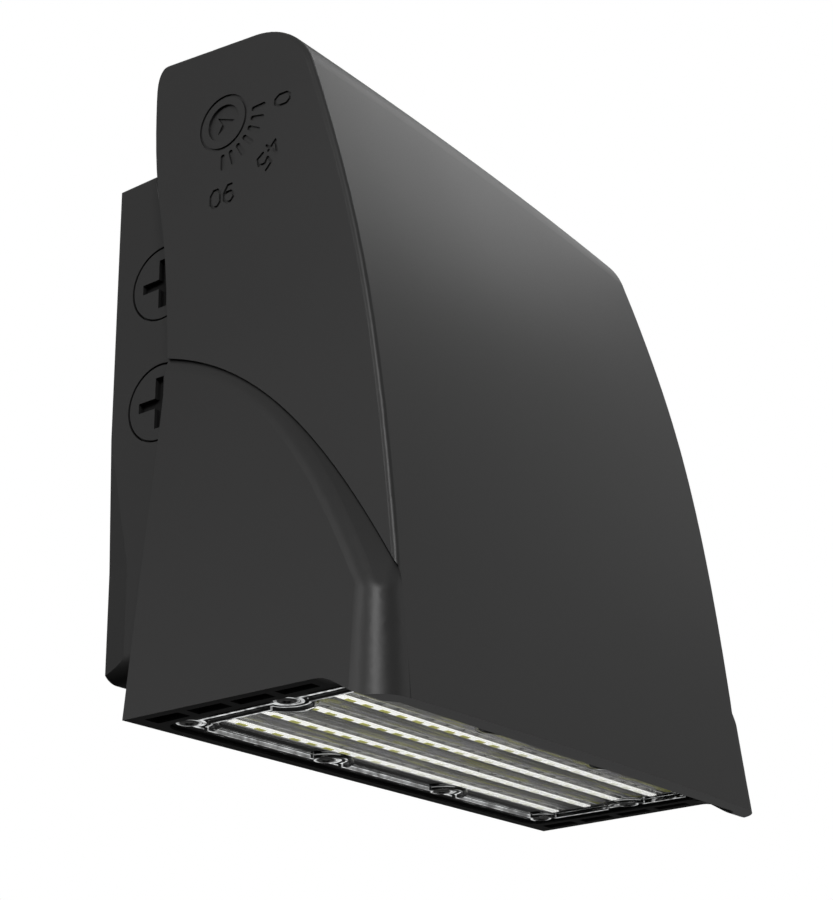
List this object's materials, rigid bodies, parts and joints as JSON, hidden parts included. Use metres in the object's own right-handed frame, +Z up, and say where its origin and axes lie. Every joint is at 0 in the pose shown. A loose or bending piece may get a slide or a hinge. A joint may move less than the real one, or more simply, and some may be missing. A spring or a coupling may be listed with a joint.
{
  "type": "wall pack light",
  "caption": "Full-cutoff wall pack light: a square wall box carries a tilting flared lamp head with a flat lens facing down and an angle dial on its cheek.",
  "frame": {"origin": "centre of the wall box's back face, on the wall plane and on the wire entry's axis", "axes": "+Z up, +Y into the wall, +X to the right seen from the front; the lamp's shield faces -Y and its lens faces -Z"},
  "size_m": [0.2128, 0.1204, 0.227],
  "materials": {
    "charcoal_cast": "fine-textured charcoal powder coat",
    "charcoal_plug": "charcoal powder coat on die-cast plugs",
    "charcoal_hub": "charcoal powder coat",
    "dark_rubber": "matte silicone",
    "steel_screw": "bright zinc",
    "brass_screw": "green-tinted earth screw",
    "led_board": "white solder mask with pale yellow chips",
    "bright_reflector": "bright aluminised plate",
    "clear_lens": "clear moulded lens, lightly frosted",
    "driver_plastic": "pale grey housing",
    "block_plastic": "off-white moulding"
  },
  "bodies": {
    "wall_box": {"box_cover": "charcoal_cast", "box_cover_gasket": "dark_rubber", "box_cover_screw_1": "steel_screw", "box_cover_screw_2": "steel_screw", "box_cover_screw_3": "steel_screw", "box_cover_screw_4": "steel_screw", "box_grommet": "dark_rubber", "conduit_plug_left_lower": "charcoal_plug", "conduit_plug_left_upper": "charcoal_plug", "conduit_plug_right_lower": "charcoal_plug", "conduit_plug_right_upper": "charcoal_plug", "earth_screw": "brass_screw", "friction_washer_left": "steel_screw", "friction_washer_right": "steel_screw", "hub_nut_left": "steel_screw", "hub_nut_right": "steel_screw", "mounting_box": "charcoal_cast", "pivot_hub_left": "charcoal_hub", "pivot_hub_right": "charcoal_hub", "plug_seal_left_lower": "dark_rubber", "plug_seal_left_upper": "dark_rubber", "plug_seal_right_lower": "dark_rubber", "plug_seal_right_upper": "dark_rubber", "wall_gasket": "dark_rubber", "wiring_block": "block_plastic"},
    "lamp_head": {"back_cover": "charcoal_cast", "back_cover_gasket": "dark_rubber", "back_cover_screw_1": "steel_screw", "back_cover_screw_2": "steel_screw", "back_cover_screw_3": "steel_screw", "back_cover_screw_4": "steel_screw", "back_cover_screw_5": "steel_screw", "back_cover_screw_6": "steel_screw", "driver_case": "driver_plastic", "driver_screw_1": "steel_screw", "driver_screw_2": "steel_screw", "head_grommet": "dark_rubber", "head_housing": "charcoal_cast", "led_board_1": "led_board", "led_board_2": "led_board", "led_board_3": "led_board", "led_board_4": "led_board", "lens": "clear_lens", "lens_gasket": "dark_rubber", "lens_screw_01": "steel_screw", "lens_screw_02": "steel_screw", "lens_screw_03": "steel_screw", "lens_screw_04": "steel_screw", "lens_screw_05": "steel_screw", "lens_screw_06": "steel_screw", "lens_screw_07": "steel_screw", "lens_screw_08": "steel_screw", "lens_screw_09": "steel_screw", "lens_screw_10": "steel_screw", "reflector": "bright_reflector"}
  },
  "joints": [
    {"name": "head_tilt", "type": "hinge", "parent": "wall_box", "child": "lamp_head", "pos_m": [0, -0.0527, 0.0842], "axis": [-1, 0, 0], "range_deg": [0, 90]}
  ]
}
